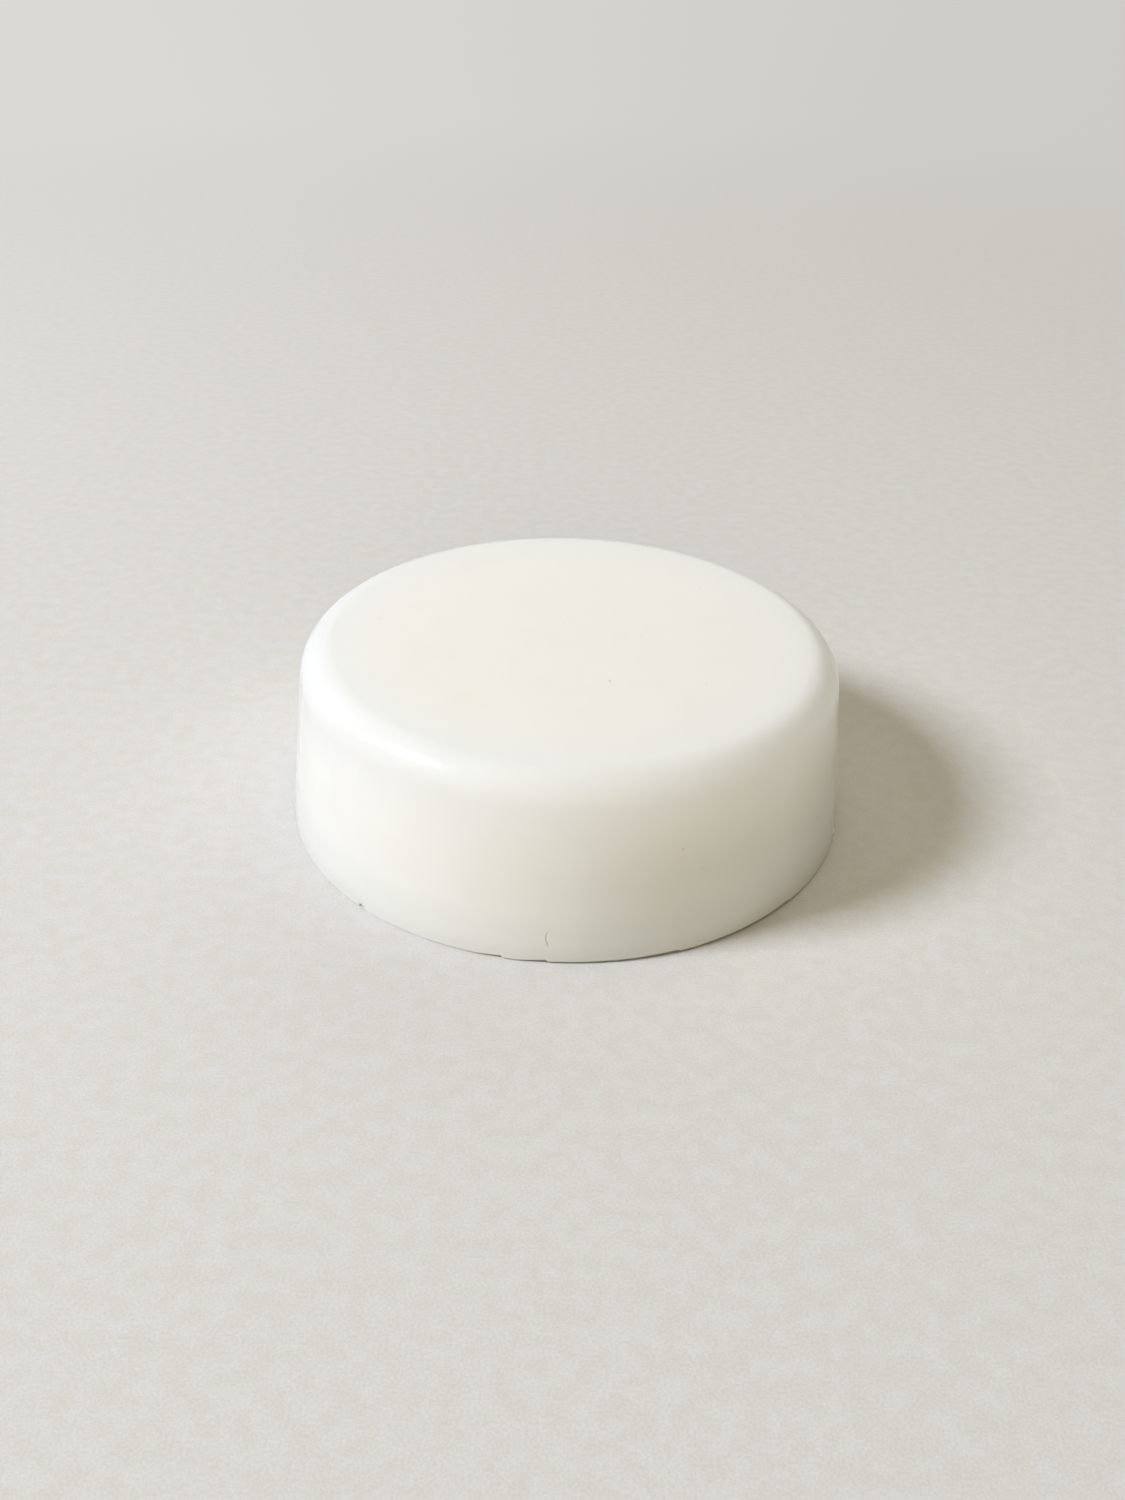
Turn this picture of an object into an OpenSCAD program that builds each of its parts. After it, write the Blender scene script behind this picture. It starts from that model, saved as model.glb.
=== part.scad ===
// Shaving soap puck: one round block of hard white soap, cast in a mould and turned
// out upside down. The mould's floor has made the flat top face and its rounded
// shoulder, the mould's wall has left its draft, and the open side of the mould has
// left the wider pour face underneath, which sank a little as the soap set.
// Millimetres, +Z up, with the origin at the middle of the ring that the puck sits on.

/* [Puck] */
// Diameter at the foot of the wall, where the puck is widest
base_d = 65; // [50:0.5:80]
// Height from the seating ring to the top face
puck_h = 21; // [15:0.5:30]
// Draft of the wall, in degrees from upright, which lets the puck leave its mould
wall_draft = 6; // [1:0.25:9]

/* [Edges] */
// Radius of the shoulder between the wall and the top face
shoulder_r = 3.6; // [1.5:0.1:6]
// Radius of the crisp edge between the wall and the seating ring
foot_r = 0.3; // [0.1:0.05:0.8]

/* [Pour face] */
// Width of the flat ring that the puck sits on
seat_w = 2.5; // [1:0.25:6]
// Depth of the hollow inside that ring, drawn as the soap set
hollow_depth = 0.5; // [0.2:0.05:1.5]

/* [Hidden] */

// Facets of the turned body, and the longest straight step along an arc of its profile
turn_facets = 180;
arc_step = 1;

// Each straight run lies this much inside the arcs that it joins. The lines and the
// arcs then cross, where true tangents would only graze each other.
graze = 0.0005;

// The wall runs tangent to the foot's arc, whose widest point is half the base
// diameter. Its outward direction, and how far out it lies in that direction:
wall_dir = [cos(wall_draft), sin(wall_draft)];
foot_c = [base_d / 2 - foot_r, foot_r];
wall_reach = foot_c * wall_dir + foot_r;

// The shoulder's arc is tangent to the wall and to the top face
shoulder_z = puck_h - shoulder_r;
shoulder_c = [wall_x(shoulder_z, shoulder_r), shoulder_z];

// The hollow is a shallow dish, from the seating ring to the middle of the pour face
hollow_half = foot_c[0] - seat_w;
hollow_r = (pow(hollow_half, 2) + pow(hollow_depth, 2)) / (2 * hollow_depth);

// Distance from the axis, at height z, of a line that lies inset inside the wall
function wall_x(z, inset) = (wall_reach - inset - z * wall_dir[1]) / wall_dir[0];

// Facets of a circle of the profile, always enough to read as a true circle
function arc_facets(r) = max(96, ceil(2 * PI * r / arc_step));

module disc(centre, r) {
    translate(centre) circle(r = r, $fn = arc_facets(r));
}

// The straight-sided body between the two arcs
module core() {
    polygon([
        [0, 0],
        [foot_c[0], 0],
        foot_c + (foot_r - graze) * wall_dir,
        shoulder_c + (shoulder_r - graze) * wall_dir,
        [shoulder_c[0], puck_h - graze],
        [0, puck_h - graze]
    ]);
}

// Half of the puck's cross-section, with its radius across and its height up
module half_section() {
    difference() {
        union() {
            core();
            disc(foot_c, foot_r);
            disc(shoulder_c, shoulder_r);
        }
        disc([0, hollow_depth - hollow_r], hollow_r);
    }
}

module soap_puck() {
    color("ivory") rotate_extrude($fn = turn_facets) half_section();
}

soap_puck();
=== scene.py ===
# %% [markdown]
# # A puck of shaving soap
#
# A puck of shaving soap is one casting. Hot soap is poured into a round mould, it sets,
# and the block is turned out upside down, so that the mould's floor has made its top face.
# There is a single piece to model, and all of its looks lie in three things: a clean
# outline, the small faults of a casting, and a material that lets light sink in.
#
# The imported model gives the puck's real size and place. It is loaded first, and the
# measures of everything below come from its box.

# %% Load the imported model
from math import atan2, ceil, cos, degrees, hypot, pi, radians, sin, tan

import bmesh
import bpy
from mathutils import Matrix, Vector, noise


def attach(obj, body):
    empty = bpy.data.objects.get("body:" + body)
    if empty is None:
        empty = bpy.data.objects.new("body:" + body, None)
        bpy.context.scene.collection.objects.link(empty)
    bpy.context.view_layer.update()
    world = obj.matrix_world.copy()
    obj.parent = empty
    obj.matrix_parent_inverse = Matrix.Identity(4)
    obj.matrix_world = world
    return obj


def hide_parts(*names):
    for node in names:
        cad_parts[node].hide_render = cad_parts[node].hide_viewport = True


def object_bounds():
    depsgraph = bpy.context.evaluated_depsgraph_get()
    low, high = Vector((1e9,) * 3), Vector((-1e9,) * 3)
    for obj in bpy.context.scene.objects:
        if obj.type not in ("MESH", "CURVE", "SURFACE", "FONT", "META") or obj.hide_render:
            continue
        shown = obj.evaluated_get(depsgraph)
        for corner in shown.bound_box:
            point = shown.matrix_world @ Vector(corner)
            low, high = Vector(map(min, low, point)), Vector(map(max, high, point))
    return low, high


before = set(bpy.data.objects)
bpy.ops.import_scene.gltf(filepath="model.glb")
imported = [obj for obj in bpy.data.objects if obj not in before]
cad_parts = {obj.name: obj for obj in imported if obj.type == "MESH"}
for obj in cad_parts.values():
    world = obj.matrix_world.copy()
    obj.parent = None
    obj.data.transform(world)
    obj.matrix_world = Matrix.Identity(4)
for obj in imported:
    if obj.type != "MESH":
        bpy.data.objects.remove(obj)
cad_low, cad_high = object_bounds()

MM = 0.001
base_r = (cad_high.x - cad_low.x) / 2
height = cad_high.z
print(f"the puck is {2 * base_r / MM:.1f} mm wide and {height / MM:.1f} mm high")

# %% [markdown]
# ## The camera
#
# A small object looks its size when the lens comes close to it: the top face then spreads
# towards the viewer and the wall narrows towards the table. This camera stands a little
# over four base radii in front of the puck and a little under three above the table.
#
# A camera can be turned by hand, or made to look at a point. Looking at a point is easier
# to read and to change, so the aim is named, and the slight lean of a hand-held camera is
# one more turn about the line of sight.

# %% Camera
EYE = Vector((0, -4.328, 2.863)) * base_r
AIM = Vector((-0.019, 0.274, 0)) * base_r
LEAN = radians(1.67)
SENSOR = 36.0
LENS = 33.26


def make_camera(name):
    camera = bpy.data.objects.new(name, bpy.data.cameras.new(name))
    camera.data.sensor_width = SENSOR
    camera.data.lens = LENS
    camera.data.clip_start = 1 * MM
    turn = (AIM - EYE).to_track_quat("-Z", "Y").to_matrix().to_4x4()
    camera.matrix_world = Matrix.Translation(EYE) @ turn @ Matrix.Rotation(LEAN, 4, "Z")
    bpy.context.scene.collection.objects.link(camera)
    bpy.context.scene.camera = camera


make_camera("camera")
print(f"the lens is {(AIM - EYE).length / MM:.0f} mm from the point it looks at")

# %% [markdown]
# ## The outline
#
# The mould decides the outline. Its wall leans outwards a few degrees so that the soap
# lets go of it, its floor meets that wall in a soft round, and the open side leaves a crisp
# edge. Underneath, the pour face has sunk a little as the soap shrank, so the puck sits on
# a narrow ring.
#
# A body that is the same all the way round is best turned on an axis, like work on a lathe.
# So half of the outline is drawn as a few straight lines with sharp corners, and the
# corners are then rounded with a bevel. This keeps the drawing short, and each round is a
# single number.
#
# Each point also carries a number for painted shade. It is 0 for now. The faults cut further
# on set it to more, the deeper they are, and the soap's material darkens its colour by it.

# %% Measures of the outline
WALL_DRAFT = radians(6)
SHOULDER_R = 3.6 * MM
FOOT_R = 0.15 * MM
SEAT_W = 2.5 * MM
HOLLOW_DEPTH = 0.5 * MM
SLACK = 0.04 * MM

rim_r = base_r - SLACK
top_z = height - SLACK
wall_reach = (rim_r - FOOT_R) * cos(WALL_DRAFT) + FOOT_R * sin(WALL_DRAFT) + FOOT_R
seat_in = rim_r - FOOT_R - SEAT_W


def wall_x(z):
    """Distance of the straight wall from the axis at height z."""
    return (wall_reach - z * sin(WALL_DRAFT)) / cos(WALL_DRAFT)


print(f"the wall leans in from {wall_x(0) / MM:.1f} to {wall_x(top_z) / MM:.1f} mm")

# %% The half outline, with sharp corners
SHOULDER_SEGMENTS = 14
FOOT_SEGMENTS = 5
STEP = 0.5 * MM
HOLLOW_STEP = 1.5 * MM


def draw_line(bm, points):
    verts = [bm.verts.new(p) for p in points]
    for a, b in zip(verts, verts[1:]):
        bm.edges.new((a, b))
    return verts


def round_corner(bm, vert, radius, turn, segments):
    """Rounds a corner of the outline at which its line turns by the angle turn."""
    bmesh.ops.bevel(
        bm, geom=[vert], offset=radius * tan(turn / 2), offset_type="OFFSET",
        affect="VERTICES", segments=segments, profile=0.5, material=-1,
    )


def divide_lines(bm, edges, step):
    """Adds points along straight runs, so that they can be bent and sculpted later."""
    for edge in edges:
        cuts = ceil(edge.calc_length() / step) - 1
        if cuts > 0:
            bmesh.ops.subdivide_edges(bm, edges=[edge], cuts=cuts)


def sink_pour_face(bm):
    """Bends the straight line of the pour face into a shallow dish."""
    for v in bm.verts:
        if v.co.x < seat_in and v.co.z < HOLLOW_DEPTH + MM:
            v.co.z = HOLLOW_DEPTH * (1 - (v.co.x / seat_in) ** 2)


bm = bmesh.new()
# Each point's share of painted shade in the hollows, set by the faults further on.
pit_shade = bm.verts.layers.float.new("pit_shade")
corners = draw_line(bm, [
    (0, 0, top_z), (wall_x(top_z), 0, top_z), (wall_x(0), 0, 0), (seat_in, 0, 0),
    (0, 0, HOLLOW_DEPTH),
])
round_corner(bm, corners[1], SHOULDER_R, pi / 2 - WALL_DRAFT, SHOULDER_SEGMENTS)
round_corner(bm, corners[2], FOOT_R, pi / 2 + WALL_DRAFT, FOOT_SEGMENTS)
under = [e for e in bm.edges if all(v.co.x < seat_in + STEP and v.co.z < MM for v in e.verts)]
shown = [e for e in bm.edges if e not in under]
divide_lines(bm, under, HOLLOW_STEP)
divide_lines(bm, shown, STEP)
sink_pour_face(bm)
print(f"the half outline has {len(bm.verts)} points")

# %% [markdown]
# ## Turning the body
#
# Spin carries the outline round the axis. A full turn needs its last copy joined to the
# first, and the two ends on the axis give a heap of points that are merged into one. After
# that the faces are made to point outwards, because a spin may leave them inside out.

# %% Turn the outline
TURN_STEPS = 360

bmesh.ops.spin(
    bm, geom=bm.verts[:] + bm.edges[:], cent=(0, 0, 0), axis=(0, 0, 1), angle=2 * pi,
    steps=TURN_STEPS, use_merge=True, use_duplicate=False,
)
bmesh.ops.remove_doubles(bm, verts=bm.verts, dist=0.001 * MM)
bmesh.ops.recalc_face_normals(bm, faces=bm.faces)
print(f"the turned body has {len(bm.faces)} faces")

# %% [markdown]
# ## A finer mesh where the faults are
#
# The turned body is perfect, and a real casting isn't: its foot is chipped, perhaps where it
# broke away from the mould, there are pits the size of a grain of salt where bubbles may
# have burst, a hairline crack wanders up the front of the wall, there is a slit above a
# nick at the left, and a burr as small as a crumb sticks out low on the right.
#
# Such faults are far smaller than the faces of the body. They could be painted on with a
# bump pattern, but light that skims the wall and the outline against the table would give
# that away. A finer mesh all over would be heavy. So the places of the faults are named
# first, and only the faces around them are cut into a grid.
#
# This comes before anything is bent, while the wall still is an exact cone, because a cut
# across a flat face leaves the new points slightly inside the round skin, and on a cone
# they are easy to set back.

# %% Where the small faults are
def on_wall(turn, z):
    """A point of the wall, from its turn in degrees and its height in millimetres."""
    far = wall_x(z * MM)
    return Vector((far * cos(radians(turn)), far * sin(radians(turn)), z * MM))


def on_top(x, y):
    """A point of the top face, from its x and y in millimetres."""
    return Vector((x * MM, y * MM, top_z))


# A pit is its place, its radius and its depth. Measures of faults are in millimetres, and
# their turns in degrees.
PITS = [
    (on_top(4.4, -10.4), 0.30, 0.16), (on_top(7.9, 0.2), 0.18, 0.07),
    (on_top(8.6, 0.4), 0.15, 0.06), (on_top(15.5, 13.5), 0.20, 0.08),
    (on_top(-0.8, 3.1), 0.16, 0.06), (on_top(-5.0, -2.6), 0.17, 0.07),
    (on_top(-22.1, 2.9), 0.20, 0.08), (on_top(14.7, -10.2), 0.18, 0.08),
    (on_top(1.2, -17.0), 0.18, 0.05), (on_wall(-67.7, 12.3), 0.28, 0.07),
    (on_wall(-63.5, 9.4), 0.20, 0.05), (on_wall(-29.2, 7.3), 0.36, 0.16),
]
CRACK = dict(turn=-92.6, low=1.7, high=4.1, half_width=0.07, depth=0.10, wander=0.09, lean=-0.15)
SLIT = dict(turn=-131.4, low=0.2, high=0.8, half_width=0.08, depth=0.08, wander=0.02, lean=0.35)
BURR = on_wall(-16.5, 1.5)
BURR_RADIUS = 0.45
BURR_RISE = 0.25
BURR_REACH = 0.6
print(f"{len(PITS)} pits, a crack, a slit and a burr")


# %% Cut faces finer
FRONT_TURNS = -168, 0
FOOT_BAND_IN = 1.2 * MM
FOOT_BAND_UP = 1.6 * MM
FOOT_CUTS = 2
PIT_CUTS = 6
MARGIN = 0.4


def cut_finer(bm, chosen, cuts):
    """Cuts the faces whose middle is chosen into a grid, and rounds the new wall points."""
    faces = [f for f in bm.faces if chosen(f.calc_center_median())]
    edges = list(dict.fromkeys(e for f in faces for e in f.edges))
    made = bmesh.ops.subdivide_edges(bm, edges=edges, cuts=cuts, use_grid_fill=True)
    for v in made["geom_inner"]:
        if isinstance(v, bmesh.types.BMVert) and 2 * FOOT_R < v.co.z < top_z - SHOULDER_R:
            v.co.xy *= wall_x(v.co.z) / v.co.xy.length


def polar(p):
    """Turn in degrees, distance from the axis and height of a point."""
    return degrees(atan2(p.y, p.x)), hypot(p.x, p.y), p.z


def near_front_foot(p):
    turn, far, z = polar(p)
    return FRONT_TURNS[0] < turn < FRONT_TURNS[1] and far > rim_r - FOOT_BAND_IN and z < FOOT_BAND_UP


def near(place, reach):
    return lambda p: (p - place).length < reach * MM


cut_finer(bm, near_front_foot, FOOT_CUTS)
for place, radius, depth in PITS:
    cut_finer(bm, near(place, radius + MARGIN), PIT_CUTS)
# The slit and the burr lie where the foot is finer already, so they need fewer cuts.
for fault, cuts in ((CRACK, 9), (SLIT, 3)):
    middle = (fault["low"] + fault["high"]) / 2
    reach = middle - fault["low"] + MARGIN / 2
    cut_finer(bm, near(on_wall(fault["turn"], middle), reach), cuts)
cut_finer(bm, near(BURR, BURR_REACH), 2)
print(f"with finer places along the foot and at each fault, the body has {len(bm.faces)} faces")

# %% [markdown]
# ## Out of true
#
# Soap shrinks as it sets and gives a little when it is pushed out of its mould, so nothing
# on it is quite round. The wall is drawn in by up to about an eighth of a millimetre, in
# long slow waves and a few shorter ones, and the top face sinks by a quarter of that. It
# only ever goes inwards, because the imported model's box is the puck's full size. Points
# close to the axis aren't drawn in, and the height of the seat stays.

# %% Long waves in the skin
WAVE = 0.10 * MM
WAVE_SIZE = 26 * MM
RIPPLE = 0.03 * MM
RIPPLE_SIZE = 5 * MM
TOP_WAVE = 0.03 * MM
TOP_WAVE_SIZE = 17 * MM
TOP_SKIN = 1 * MM
STILL_R = 18 * MM
LOOSE_R = 28 * MM
PATTERN_START = Vector((3.1, 7.7, 1.3))


def ease(x):
    """Goes softly from 0 at x = 0 to 1 at x = 1, and is flat beyond."""
    x = min(max(x, 0), 1)
    return x * x * (3 - 2 * x)


def wave(p, size):
    """A smooth pattern from 0 to 1, the same in each run, with features about size long."""
    return min(max(0.5 + 0.8 * noise.noise(p / size + PATTERN_START), 0), 1)


for v in bm.verts:
    turn, far, z = polar(v.co)
    outer = ease((far - STILL_R) / (LOOSE_R - STILL_R))
    pull = WAVE * wave(v.co, WAVE_SIZE) + RIPPLE * wave(v.co, RIPPLE_SIZE)
    if far > 0:
        v.co.xy *= 1 - pull * outer / far
    if z > top_z - TOP_SKIN:
        skin = ease((z - top_z + TOP_SKIN) / TOP_SKIN)
        v.co.z -= TOP_WAVE * wave(v.co, TOP_WAVE_SIZE) * skin

print(f"the rim is now up to {(WAVE + RIPPLE) / MM:.2f} mm out of round")

# %% [markdown]
# ## The chipped foot
#
# The edge of the pour face is thin and brittle. At the left it lies close on the table, but
# for one nick. Towards the right it tore more and more, and there it stands a hair clear of
# the table: most tears rise along the edge, and each ends in a step.
#
# Each tear is an entry in a list: the turn in degrees where it starts and ends, and its
# height at both in millimetres. The points of the foot are lifted by it and drawn in a
# little, less and less up the wall and in under the puck, so that the surface stays whole
# and the seat stays on the table.

# %% Tears along the foot
TEARS = [
    (-132.1, -130.4, 0.30, 0.12), (-125, -106, 0.02, 0.06), (-106, -101, 0.05, 0.28),
    (-101, -97.5, 0.06, 0.08), (-97.5, -92.5, 0.10, 0.32), (-92.5, -80.6, 0.14, 0.24),
    (-80.6, -68, 0.20, 0.30), (-68, -58, 0.14, 0.20), (-58, -40.5, 0.20, 0.34),
    (-40.5, -19, 0.20, 0.16), (-19, -13, 0.08, 0.10), (-13, -4, 0.24, 0.14),
]
TEAR_REACH_UP = 1.5 * MM
TEAR_REACH_IN = 1.6 * MM
TEAR_FULL_IN = 0.5 * MM
TEAR_PULL = 0.35


def tear_height(turn):
    for start, end, low, high in TEARS:
        if start <= turn < end:
            return (low + (high - low) * (turn - start) / (end - start)) * MM
    return 0


for v in bm.verts:
    turn, far, z = polar(v.co)
    if far < seat_in or z > TEAR_REACH_UP:
        continue
    outward = ease((far - (rim_r - TEAR_REACH_IN)) / (TEAR_REACH_IN - TEAR_FULL_IN))
    lift = tear_height(turn) * outward * (1 - z / TEAR_REACH_UP)
    v.co.z += lift
    v.co.xy *= 1 - TEAR_PULL * lift / far

print(f"{len(TEARS)} tears, the highest {max(max(t[2:]) for t in TEARS):.2f} mm")

# %% [markdown]
# ## Pits, a crack and a burr
#
# Each pit is a round bowl: points inside its edge sink, most in the middle. A crack is a
# groove whose middle wanders from side to side as it climbs, and a burr is a pit that goes
# the other way. They all move points straight into the skin, so one helper does for all: it
# asks how deep the fault is at each point near it. It measures along the skin only, because
# the waves have moved the skin a little from where the fault was placed.
#
# The holes are painted darker than their shape alone makes them: painted shade in the
# hollows, deeper where they are deeper. So the same helper notes on each point how much
# painted shade its depth gives.

# %% Sink the pits
# A hollow this deep or deeper gets the full painted shade.
FULL_SHADE_DEPTH = 0.10 * MM


def sink(bm, place, reach, depth_at):
    """Sinks the points within reach of a place by depth_at(offset along the skin)."""
    flat = place.z > top_z - TOP_SKIN
    outward = Vector((0, 0, 1)) if flat else Vector((place.x, place.y, 0)).normalized()
    for v in bm.verts:
        offset = v.co - place
        if offset.length < reach:
            depth = depth_at(offset - outward * offset.dot(outward))
            # Painted shade in the hollow, growing with its depth.
            v[pit_shade] = max(v[pit_shade], min(depth / FULL_SHADE_DEPTH, 1))
            v.co -= outward * depth


def pit(bm, place, radius, depth):
    def bowl(offset):
        return depth * (1 - ease(offset.length / radius))

    sink(bm, place, radius + MARGIN * MM, bowl)


for place, radius, depth in PITS:
    pit(bm, place, radius * MM, depth * MM)
print(f"the deepest pit is {max(p[2] for p in PITS):.2f} mm")

# %% Crack, slit and burr
SLOW_BEND = 9.0
QUICK_BEND = 23.0


def groove(bm, turn, low, high, half_width, depth, wander, lean):
    """A groove up the wall with one slow and one quick bend, which leans as it climbs."""
    middle = on_wall(turn, (low + high) / 2)
    side = Vector((-middle.y, middle.x, 0)).normalized()

    def groove_depth(offset):
        up = 0.5 + offset.z / MM / (high - low)
        bend = wander * (sin(SLOW_BEND * up) + 0.5 * sin(QUICK_BEND * up + 1)) + lean * (up - 0.5)
        across = abs(offset.dot(side) / MM - bend)
        ends = ease(up / 0.15) * ease((1 - up) / 0.3)
        return depth * MM * ends * (1 - ease(across / half_width))

    sink(bm, middle, ((high - low) / 2 + MARGIN) * MM, groove_depth)


groove(bm, **CRACK)
groove(bm, **SLIT)
pit(bm, BURR, BURR_RADIUS * MM, -BURR_RISE * MM)
print("the crack and the slit are cut, and the burr stands proud")

# %% [markdown]
# ## One smooth object
#
# The mesh becomes an object at the origin. All of its faces are shaded smooth: the skin is
# one soft surface, and even its foot is a tiny round rather than a sharp corner.

# %% Make the object
puck = bpy.data.objects.new("soap_casting", bpy.data.meshes.new("soap_casting"))
bpy.context.scene.collection.objects.link(puck)
bm.to_mesh(puck.data)
bm.free()
puck.data.polygons.foreach_set("use_smooth", [True] * len(puck.data.polygons))
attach(puck, "root")
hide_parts("soap_puck")
triangles = sum(len(p.vertices) - 2 for p in puck.data.polygons)
print(f"{puck.name} has {triangles} triangles")

# %% [markdown]
# ## The soap
#
# Hard white soap isn't white paint. Light goes in, scatters among tiny crystals of soap and
# comes out somewhere else, a little warmer than it went in. It softens the line between
# the lit and the shaded side of the wall, and lets the shoulder glow. Subsurface scattering
# does this, with a longer reach for red than for blue. The distances were chosen for the
# look. They are longer than the puck is high, and are no measured property of soap.
#
# It isn't as strong all over. The shoulder glows most, the foot looks chalky, and the top
# face lies between. Drying might explain that, but it is a guess. So the share of light
# that scatters follows the height, and on the top face the distance from the rim.
#
# The colour changes too, and most of that change is painted light and shade laid over the
# soap's own cream white. The foot is painted greyest, as painted shade where it meets the
# table. The wall is painted a shade darker than the top, and the shoulder a little deeper
# still, as painted shade that holds back the side the lamp strikes. The upper rim is painted
# the purest white, as a painted glow, and so the middle of the top looks a touch more like
# cream. On the wall, a colour ramp along the height says all of this in one node. The mix
# itself is faintly cloudy.
#
# The tones of the ramp and the light of the lamps further on come from one numerical fit,
# trimmed. So they belong together, and a tone by itself is no measured colour of soap.
#
# The skin was cast against the smooth mould, so it has a soft gloss. It is a little sharper
# in some places than in others.
#
# Small helpers keep a node tree readable: each adds one node, joins it up, and returns its
# output for the next one.

# %% Helpers for node trees
NOISE_RANGE = 0.3, 0.7


def feed(tree, socket, value):
    """Joins a socket to another node's output, or sets it to a plain value."""
    if isinstance(value, bpy.types.NodeSocket):
        tree.links.new(value, socket)
    else:
        socket.default_value = value


def add_noise(tree, coords, size, detail):
    """A noise texture whose features are about as long as size."""
    node = tree.nodes.new("ShaderNodeTexNoise")
    node.inputs["Scale"].default_value = 1 / size
    node.inputs["Detail"].default_value = detail
    feed(tree, node.inputs["Vector"], coords)
    return node.outputs["Fac"]


def add_range(tree, value, from_low, from_high, to_low, to_high):
    """Goes softly from to_low to to_high as value goes from from_low to from_high."""
    node = tree.nodes.new("ShaderNodeMapRange")
    node.interpolation_type = "SMOOTHSTEP"
    numbers = (value, from_low, from_high, to_low, to_high)
    for name, number in zip(("Value", "From Min", "From Max", "To Min", "To Max"), numbers):
        feed(tree, node.inputs[name], number)
    return node.outputs["Result"]


def add_math(tree, operation, first, second):
    node = tree.nodes.new("ShaderNodeMath")
    node.operation = operation
    feed(tree, node.inputs[0], first)
    feed(tree, node.inputs[1], second)
    return node.outputs["Value"]


def add_mix(tree, share, first, second, blend="MIX"):
    """Mixes two colours, or tints the first by the second with blend MULTIPLY."""
    node = tree.nodes.new("ShaderNodeMix")
    node.data_type = "RGBA"
    node.blend_type = blend
    feed(tree, node.inputs["Factor"], share)
    feed(tree, node.inputs[6], first)
    feed(tree, node.inputs[7], second)
    return node.outputs[2]


def add_ramp(tree, value, stops):
    """Colours in order along value, which goes from 0 to 1."""
    node = tree.nodes.new("ShaderNodeValToRGB")
    ramp = node.color_ramp
    ramp.interpolation = "EASE"
    ramp.elements[0].position, ramp.elements[0].color = stops[0]
    ramp.elements[1].position, ramp.elements[1].color = stops[-1]
    for place, colour in stops[1:-1]:
        ramp.elements.new(place).color = colour
    feed(tree, node.inputs["Fac"], value)
    return node.outputs["Color"]


def add_bump(tree, height_value, strength, distance):
    node = tree.nodes.new("ShaderNodeBump")
    node.inputs["Strength"].default_value = strength
    node.inputs["Distance"].default_value = distance
    feed(tree, node.inputs["Height"], height_value)
    return node.outputs["Normal"]


def add_axes(tree, coords):
    """The object's own x, y and z at a point."""
    node = tree.nodes.new("ShaderNodeSeparateXYZ")
    feed(tree, node.inputs["Vector"], coords)
    return node.outputs


def add_backdrop_share(tree):
    """1 for what the camera sees directly or mirrored in a gloss, 0 for all other light."""
    path = tree.nodes.new("ShaderNodeLightPath")
    seen = path.outputs["Is Camera Ray"], path.outputs["Is Glossy Ray"]
    return add_math(tree, "MAXIMUM", *seen)


def add_far(tree, coords):
    """How far a point is from the puck's axis."""
    flat = tree.nodes.new("ShaderNodeVectorMath")
    flat.operation = "MULTIPLY"
    flat.inputs[1].default_value = (1, 1, 0)
    far = tree.nodes.new("ShaderNodeVectorMath")
    far.operation = "LENGTH"
    feed(tree, flat.inputs[0], coords)
    feed(tree, far.inputs[0], flat.outputs["Vector"])
    return far.outputs["Value"]


# %% Soap material
# The middle of the top is the soap's own cream; the whiter rim round it is a painted glow.
CREAM = (0.922, 0.912, 0.871, 1)
CREAM_R = 18 * MM
SIDE_R = 29 * MM
# Tones by height: painted shade at the foot and under the shoulder, a painted glow at the rim.
PAINTED_SIDE_TONES = [
    (0.0, (0.767, 0.764, 0.733, 1)), (0.14, (0.832, 0.835, 0.809, 1)),
    (0.31, (0.878, 0.873, 0.838, 1)), (0.52, (0.892, 0.882, 0.842, 1)),
    (0.83, (0.858, 0.845, 0.812, 1)), (1.0, (0.904, 0.911, 0.900, 1)),
]
CLOUDY = (0.985, 0.985, 0.983, 1)
CLOUD_SIZE = 9 * MM
# The tint of the painted shade in the pits, the crack and the slit.
PIT_SHADE_TINT = (0.88, 0.83, 0.74, 1)
SCATTER_MM = (45, 40, 30)
SCATTER_LEAST = 0.25
CHALKY_R = 27.5 * MM
CLEAR_R = 31 * MM
CHALKY_Z = 7 * MM
CLEAR_Z = 17.5 * MM
GLOSS_SIZE = 3 * MM
GLOSS_ROUGHNESS = 0.18, 0.24
UNEVEN_SIZE = 1.6 * MM
UNEVEN_STRENGTH = 0.12
UNEVEN_HEIGHT = 0.03 * MM


def soap_colour_and_painted_light(tree, coords, up, far):
    # The ramp lays painted shade and a painted glow over the soap's colour, by height.
    side = add_ramp(tree, add_math(tree, "MULTIPLY", up, 1 / top_z), PAINTED_SIDE_TONES)
    body = add_mix(tree, add_range(tree, far, CREAM_R, SIDE_R, 0, 1), CREAM, side)
    cloud_share = add_range(tree, add_noise(tree, coords, CLOUD_SIZE, 3), 0.45, 0.75, 0, 1)
    body = add_mix(tree, cloud_share, body, CLOUDY, "MULTIPLY")
    # Pits, crack and slit are darkened by their painted shade.
    pit_shade_share = tree.nodes.new("ShaderNodeAttribute")
    pit_shade_share.attribute_name = "pit_shade"
    return add_mix(tree, pit_shade_share.outputs["Fac"], body, PIT_SHADE_TINT, "MULTIPLY")


def soap_scatter(tree, up, far):
    """The share of light that goes in: none at the foot, all of it in the shoulder."""
    outer = add_range(tree, far, CHALKY_R, CLEAR_R, SCATTER_LEAST, 1)
    return add_math(tree, "MULTIPLY", add_range(tree, up, CHALKY_Z, CLEAR_Z, 0, 1), outer)


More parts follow.
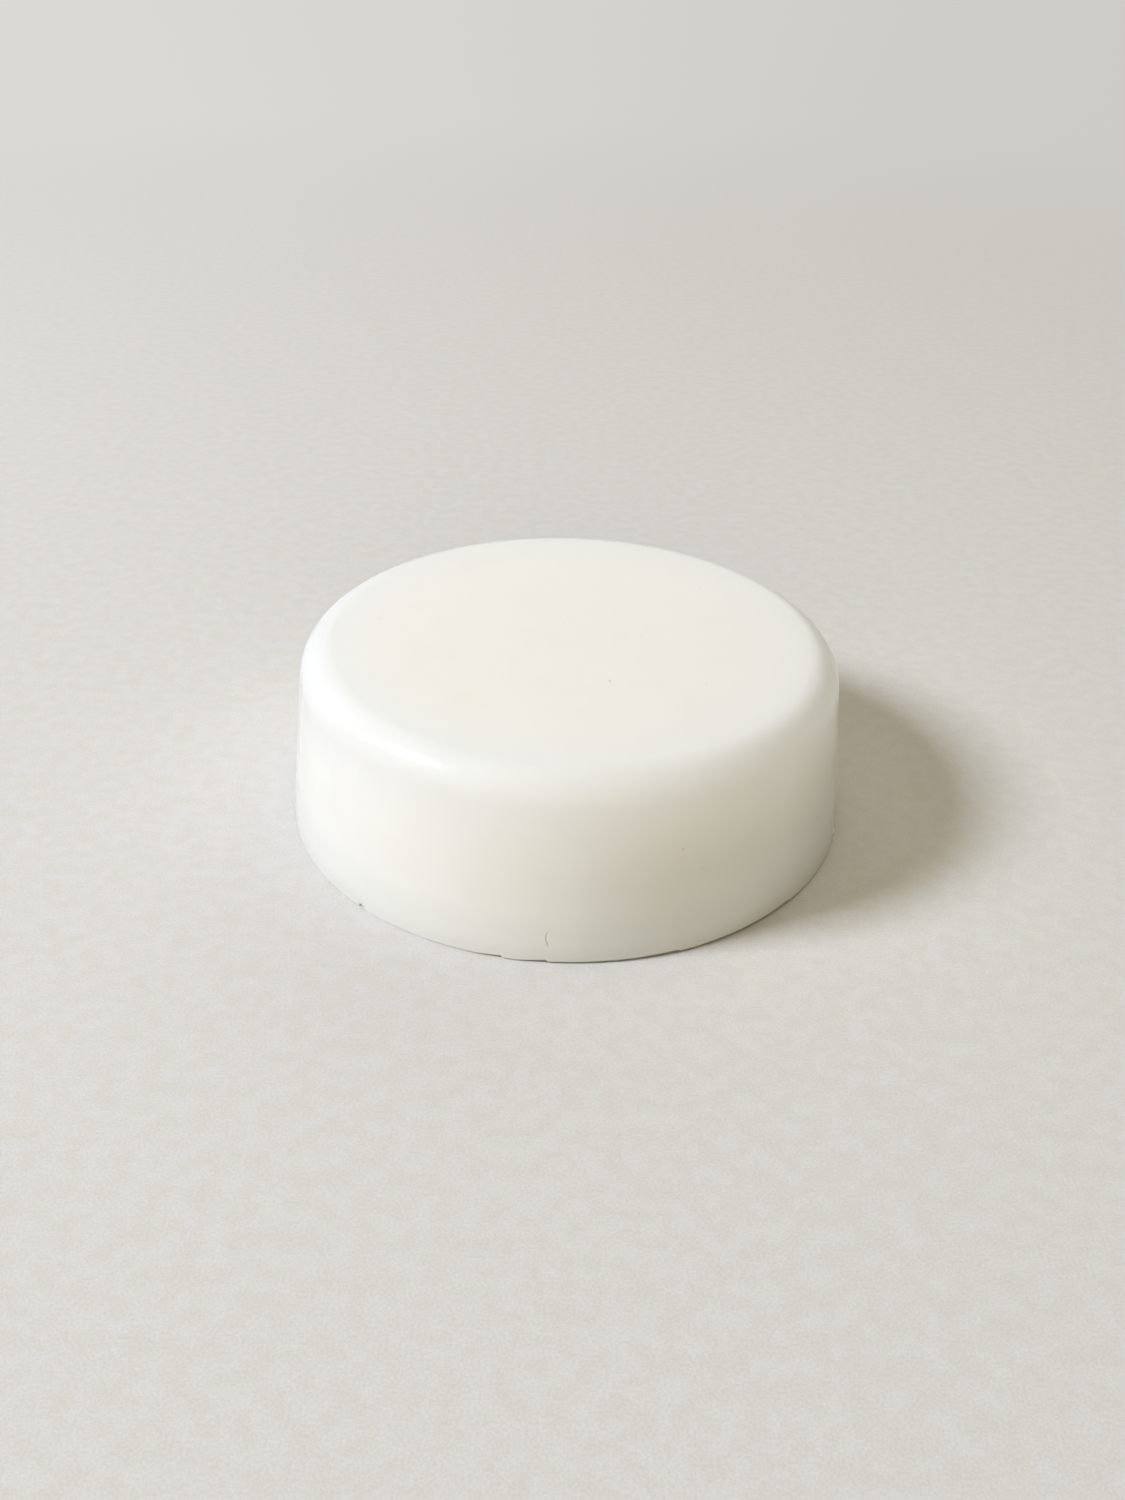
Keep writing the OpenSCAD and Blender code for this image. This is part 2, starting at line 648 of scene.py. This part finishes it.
def soap_material():
    material = bpy.data.materials.new("soap")
    material.use_nodes = True
    tree = material.node_tree
    shader = tree.nodes["Principled BSDF"]
    coords = tree.nodes.new("ShaderNodeTexCoord").outputs["Object"]
    up = add_axes(tree, coords)["Z"]
    far = add_far(tree, coords)

    feed(tree, shader.inputs["Base Color"], soap_colour_and_painted_light(tree, coords, up, far))
    feed(tree, shader.inputs["Subsurface Weight"], soap_scatter(tree, up, far))
    gloss = add_noise(tree, coords, GLOSS_SIZE, 3)
    feed(tree, shader.inputs["Roughness"], add_range(tree, gloss, *NOISE_RANGE, *GLOSS_ROUGHNESS))
    uneven = add_noise(tree, coords, UNEVEN_SIZE, 2)
    bumpy = add_bump(tree, uneven, UNEVEN_STRENGTH, UNEVEN_HEIGHT)
    feed(tree, shader.inputs["Normal"], bumpy)

    shader.inputs["IOR"].default_value = 1.46
    shader.inputs["Specular IOR Level"].default_value = 0.10
    shader.subsurface_method = "BURLEY"
    shader.inputs["Subsurface Radius"].default_value = [d * MM for d in SCATTER_MM]
    shader.inputs["Subsurface Scale"].default_value = 1.0
    return material


puck.data.materials.append(soap_material())
print(f"light may go {SCATTER_MM[0]} mm in red and {SCATTER_MM[2]} mm in blue")

# %% [markdown]
# ## The table
#
# The puck stands on a sheet of pale, warm grey paper. Paper is a mat of fibres: from close
# by it has a fine grain, and where the mat is thicker or thinner it has patches about two
# millimetres across, some warmer and some cooler. Two layers of noise give both. Each is a
# faint tint round white, so that the same two tints also serve on any other tone.
#
# The sheet runs on far behind the puck. The lamps stand close, so a real sheet would turn
# dark in the distance. Further than a hand's width away the sheet fades into a plain tone
# that only the camera sees, directly or mirrored in the glossy skin. That tone is painted
# lighter on the side of the window, as a painted falloff of the window's light, and no extra
# light falls on the puck from it. The tone depends only on the direction, so the room can
# carry on with it above the sheet.

# %% Table material
PAPER = (0.757, 0.749, 0.736, 1)
FIBRE_SIZE = 0.25 * MM
FIBRE_STRENGTH = 0.25
FIBRE_HEIGHT = 0.03 * MM
FIBRE_TINTS = (0.962, 0.960, 0.956, 1), (1.038, 1.040, 1.044, 1)
PATCH_SIZE = 2 * MM
PATCH_TINTS = (0.985, 0.976, 0.962, 1), (1.015, 1.024, 1.038, 1)
FADE_FROM = 0.10
FADE_TO = 0.60
# Painted light: the far tone towards the window, and the painted shade away from it.
FAR_LEFT_LIT = (0.708, 0.694, 0.665, 1)
FAR_RIGHT_SHADED = (0.610, 0.597, 0.564, 1)
FAR_SIDE = 0.45


def paper_tint(tree, fibres, coords):
    patches = add_noise(tree, coords, PATCH_SIZE, 3)
    grain = add_mix(tree, add_range(tree, fibres, *NOISE_RANGE, 0, 1), *FIBRE_TINTS)
    patch = add_mix(tree, add_range(tree, patches, *NOISE_RANGE, 0, 1), *PATCH_TINTS)
    return add_mix(tree, 1, grain, patch, "MULTIPLY")


def painted_far_tone(tree, coords):
    """The far tone, painted lighter on the window side, by how far to the side it lies from the
    puck.
    """
    side = add_math(tree, "DIVIDE", add_axes(tree, coords)["X"], add_far(tree, coords))
    return add_mix(tree, add_range(tree, side, -FAR_SIDE, FAR_SIDE, 0, 1), FAR_LEFT_LIT, FAR_RIGHT_SHADED)


def paper_material():
    material = bpy.data.materials.new("paper")
    material.use_nodes = True
    tree = material.node_tree
    shader = tree.nodes["Principled BSDF"]
    coords = tree.nodes.new("ShaderNodeTexCoord").outputs["Object"]
    far = add_far(tree, coords)
    fibres = add_noise(tree, coords, FIBRE_SIZE, 2)
    tint = paper_tint(tree, fibres, coords)
    feed(tree, shader.inputs["Base Color"], add_mix(tree, 1, tint, PAPER, "MULTIPLY"))
    rough = add_bump(tree, fibres, FIBRE_STRENGTH, FIBRE_HEIGHT)
    feed(tree, shader.inputs["Normal"], rough)
    shader.inputs["Roughness"].default_value = 0.9
    shader.inputs["Specular IOR Level"].default_value = 0.2

    plain = tree.nodes.new("ShaderNodeEmission")
    feed(tree, plain.inputs["Color"], painted_far_tone(tree, coords))
    faded = add_range(tree, far, FADE_FROM, FADE_TO, 0, 1)
    share = add_math(tree, "MULTIPLY", faded, add_backdrop_share(tree))
    blend = tree.nodes.new("ShaderNodeMixShader")
    feed(tree, blend.inputs["Fac"], share)
    feed(tree, blend.inputs[1], shader.outputs["BSDF"])
    feed(tree, blend.inputs[2], plain.outputs["Emission"])
    feed(tree, tree.nodes["Material Output"].inputs["Surface"], blend.outputs["Shader"])
    return material


# %% Table
TABLE_SIZE = 8.0

bm = bmesh.new()
bmesh.ops.create_grid(bm, x_segments=1, y_segments=1, size=TABLE_SIZE / 2)
table = bpy.data.objects.new("table", bpy.data.meshes.new("table"))
bm.to_mesh(table.data)
bm.free()
table.data.materials.append(paper_material())
bpy.context.scene.collection.objects.link(table)
print(f"the sheet is {TABLE_SIZE:.0f} m wide and fades from {FADE_FROM:.1f} to {FADE_TO:.1f} m away")

# %% [markdown]
# ## The light
#
# One lamp at the left does most of the work. It is slightly cool and no larger than a
# window pane, so the puck's shadow has a clear edge that grows softer away from it. The
# rest of the room is a little warmer: a broad ceiling light, and white cards behind the
# puck, at its far corner and in front. They fill the shadow with brown rather than grey.
#
# An area lamp's power spreads over the sphere round it, so what arrives falls with the
# square of the distance. It is easier to choose how bright a lamp makes a white card that
# faces it at the puck's place, and to let a helper work out its power.

# %% Lamps
def softbox(name, azimuth, elevation, distance, width, tall, light):
    """An area lamp towards a direction in degrees; light is what a white card returns."""
    lamp = bpy.data.lights.new(name, "AREA")
    lamp.shape = "RECTANGLE"
    lamp.size = width
    lamp.size_y = tall
    lamp.energy = pi ** 2 * distance ** 2 * max(light)
    lamp.color = [c / max(light) for c in light]
    box = bpy.data.objects.new(name, lamp)
    a, e = radians(azimuth), radians(elevation)
    place = distance * Vector((cos(e) * cos(a), cos(e) * sin(a), sin(e)))
    turn = (-place).to_track_quat("-Z", "Y").to_matrix().to_4x4()
    box.matrix_world = Matrix.Translation(place) @ turn
    bpy.context.scene.collection.objects.link(box)
    print(f"{name}: {lamp.energy:.1f} W")


# Where each lamp stands, in degrees and metres, its width and height, and its light.
softbox("window", 195, 41, 1.2, 0.31, 0.33, (0.762, 0.801, 0.888))
softbox("ceiling", 180, 88, 1.5, 1.6, 1.6, (0.228, 0.176, 0.092))
softbox("back card", 90, 30, 1.8, 1.6, 1.2, (0.155, 0.160, 0.153))
softbox("corner card", 45, 45, 1.8, 1.2, 1.2, (0.188, 0.190, 0.169))
softbox("front card", -90, 14, 1.8, 1.6, 0.7, (0.262, 0.240, 0.170))

# %% [markdown]
# ## The room
#
# A black room would be mirrored in the rim as a dark line. So the room gets the tone that the
# sheet ends in, in each direction, with the same painted falloff, lighter towards the window,
# and it too is only seen, and lights nothing.

# %% Room
room = bpy.data.worlds.new("room")
room.use_nodes = True
sky = room.node_tree.nodes["Background"]
direction = room.node_tree.nodes.new("ShaderNodeTexCoord").outputs["Object"]
feed(room.node_tree, sky.inputs["Color"], painted_far_tone(room.node_tree, direction))
feed(room.node_tree, sky.inputs["Strength"], add_backdrop_share(room.node_tree))
bpy.context.scene.world = room
print(f"the {room.name} is only seen by the camera and in the gloss")

# %% [markdown]
# ## The finished puck
#
# The Standard view shows the colours as they were mixed.

# %% Finish
scene = bpy.context.scene
scene.view_settings.view_transform = "Standard"
